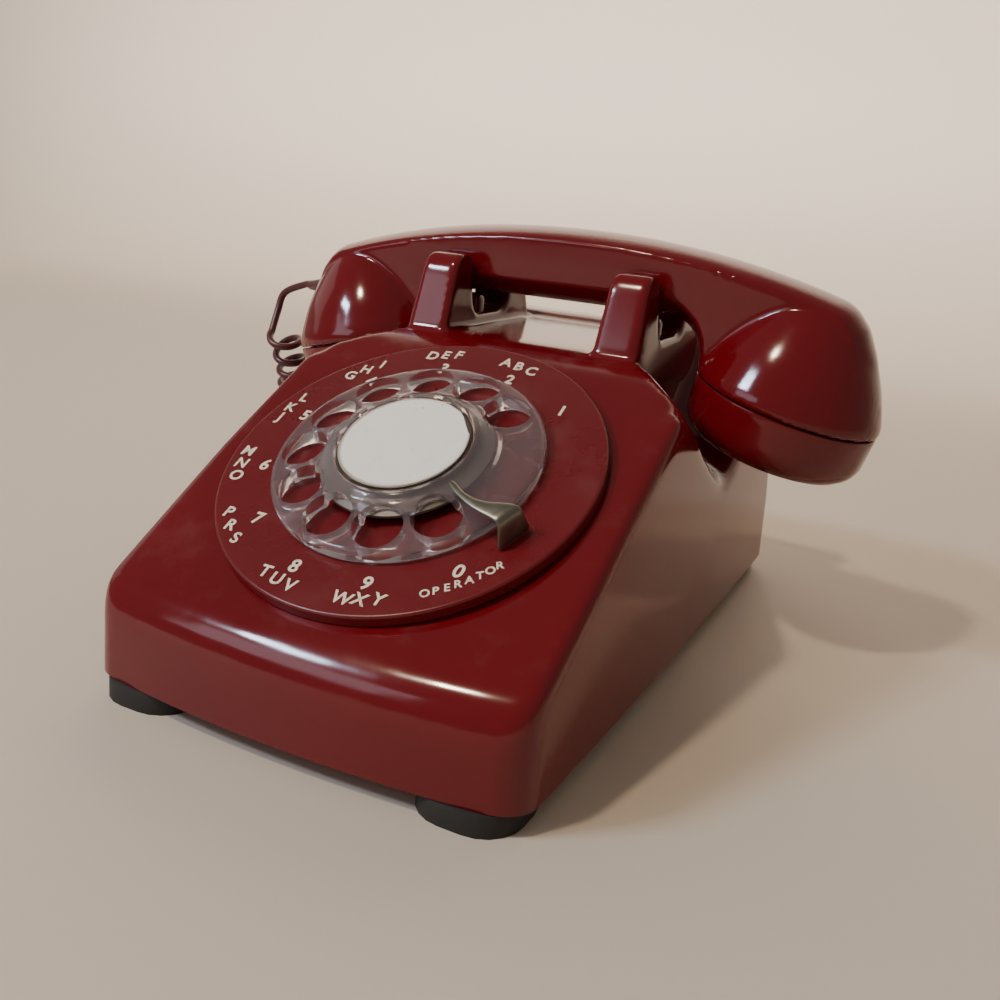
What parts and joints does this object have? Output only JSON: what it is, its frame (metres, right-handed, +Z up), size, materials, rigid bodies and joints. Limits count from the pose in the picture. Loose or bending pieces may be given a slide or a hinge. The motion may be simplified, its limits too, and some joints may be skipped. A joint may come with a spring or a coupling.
{
  "type": "rotary telephone",
  "caption": "Rotary desk telephone: moulded housing with cradle ears, finger-wheel dial, lift-off handset with screw caps and a curly cord, ringer and hook switch inside.",
  "frame": {"origin": "bottom centre of the telephone's bounding box without its cord, on the surface it stands on", "axes": "+X to the right seen from the front, +Y to the back, +Z up; the dial faces -Y and up"},
  "size_m": [0.2355, 0.2654, 0.1276],
  "materials": {
    "red_plastic": "gloss moulded",
    "plate_red": "satin moulded",
    "clear_plastic": "clear polished",
    "dark_metal": "satin",
    "card": "matt paper",
    "stainless_steel": "dull",
    "zinc_steel": "zinc plated",
    "brass": "plain",
    "rubber": "matt",
    "phenolic": "moulded",
    "copper_winding": "wound and taped",
    "cord_jacket": "satin",
    "ivory_plastic": "moulded"
  },
  "bodies": {
    "base": {"housing": "red_plastic", "base_plate": "zinc_steel", "foot_front_left": "rubber", "foot_front_right": "rubber", "foot_rear_left": "rubber", "foot_rear_right": "rubber", "housing_screw_front": "zinc_steel", "housing_screw_rear": "zinc_steel", "number_plate": "plate_red", "dial_case": "zinc_steel", "finger_stop": "stainless_steel", "dial_spring": "stainless_steel", "pulse_contacts": "ivory_plastic", "dial_bracket_left": "zinc_steel", "dial_bracket_right": "zinc_steel", "hook_bracket": "zinc_steel", "hook_contacts": "ivory_plastic", "ringer_frame": "zinc_steel", "gong_left": "brass", "gong_right": "brass", "gong_screw_left": "zinc_steel", "gong_screw_right": "zinc_steel", "ringer_coil": "copper_winding", "network_block": "phenolic", "handset_cord_coil": "cord_jacket", "handset_cord_tail": "cord_jacket", "handset_cord_grommet": "rubber", "line_cord_inlet": "rubber"},
    "dial": {"finger_wheel": "clear_plastic", "wheel_hub": "dark_metal", "number_card": "card", "card_retainer": "clear_plastic", "dial_gear": "brass"},
    "governor": {"governor": "brass"},
    "plunger_left": {"plunger_left": "red_plastic"},
    "plunger_right": {"plunger_right": "red_plastic"},
    "hook_lever": {"hook_lever": "zinc_steel"},
    "clapper": {"clapper": "zinc_steel"},
    "loudness_wheel": {"loudness_wheel": "phenolic"},
    "handset": {"handset_handle": "red_plastic", "transmitter_cap": "red_plastic", "receiver_cap": "red_plastic", "transmitter_capsule": "dark_metal", "receiver_capsule": "zinc_steel", "handset_cord_relief": "cord_jacket", "handset_cord_lead": "cord_jacket"}
  },
  "joints": [
    {"name": "handset_lift", "type": "slide", "parent": "base", "child": "handset", "axis": [0, 0, 1], "range_m": [0, 0.1]},
    {"name": "dial_turn", "type": "hinge", "parent": "base", "child": "dial", "pos_m": [0, -0.0592, 0.0649], "axis": [0, 0.4909, -0.8712], "range_deg": [0, 330], "stiffness_Nm_per_rad": 0.001, "springref_deg": -34.38},
    {"name": "governor_spin", "type": "hinge", "parent": "base", "child": "governor", "pos_m": [-0.01969, -0.07635, 0.05524], "axis": [0, 0.4909, -0.8712], "range_deg": [-1500, 0]},
    {"name": "plunger_left_rise", "type": "slide", "parent": "base", "child": "plunger_left", "axis": [0, 0, 1], "range_m": [0, 0.0051]},
    {"name": "plunger_right_rise", "type": "slide", "parent": "base", "child": "plunger_right", "axis": [0, 0, 1], "range_m": [0, 0.0051]},
    {"name": "hook_lever_tilt", "type": "hinge", "parent": "base", "child": "hook_lever", "pos_m": [0, 0.0055, 0.076], "axis": [1, 0, 0], "range_deg": [0, 9.5]},
    {"name": "clapper_swing", "type": "hinge", "parent": "base", "child": "clapper", "pos_m": [0, 0.053, 0.02], "axis": [0, 0, 1], "range_deg": [-5, 5], "stiffness_Nm_per_rad": 0.0005},
    {"name": "loudness_turn", "type": "hinge", "parent": "base", "child": "loudness_wheel", "pos_m": [-0.046, 0.0195, 0.008], "axis": [0, 0, 1], "range_deg": [-60, 60]}
  ],
  "couplings": [
    {"joint": "governor_spin", "follows": "dial_turn", "ratio": -4.5},
    {"joint": "plunger_left_rise", "follows": "handset_lift", "ratio": 0.05},
    {"joint": "plunger_right_rise", "follows": "handset_lift", "ratio": 0.05},
    {"joint": "hook_lever_tilt", "follows": "handset_lift", "rad_per_m": 1.6}
  ]
}
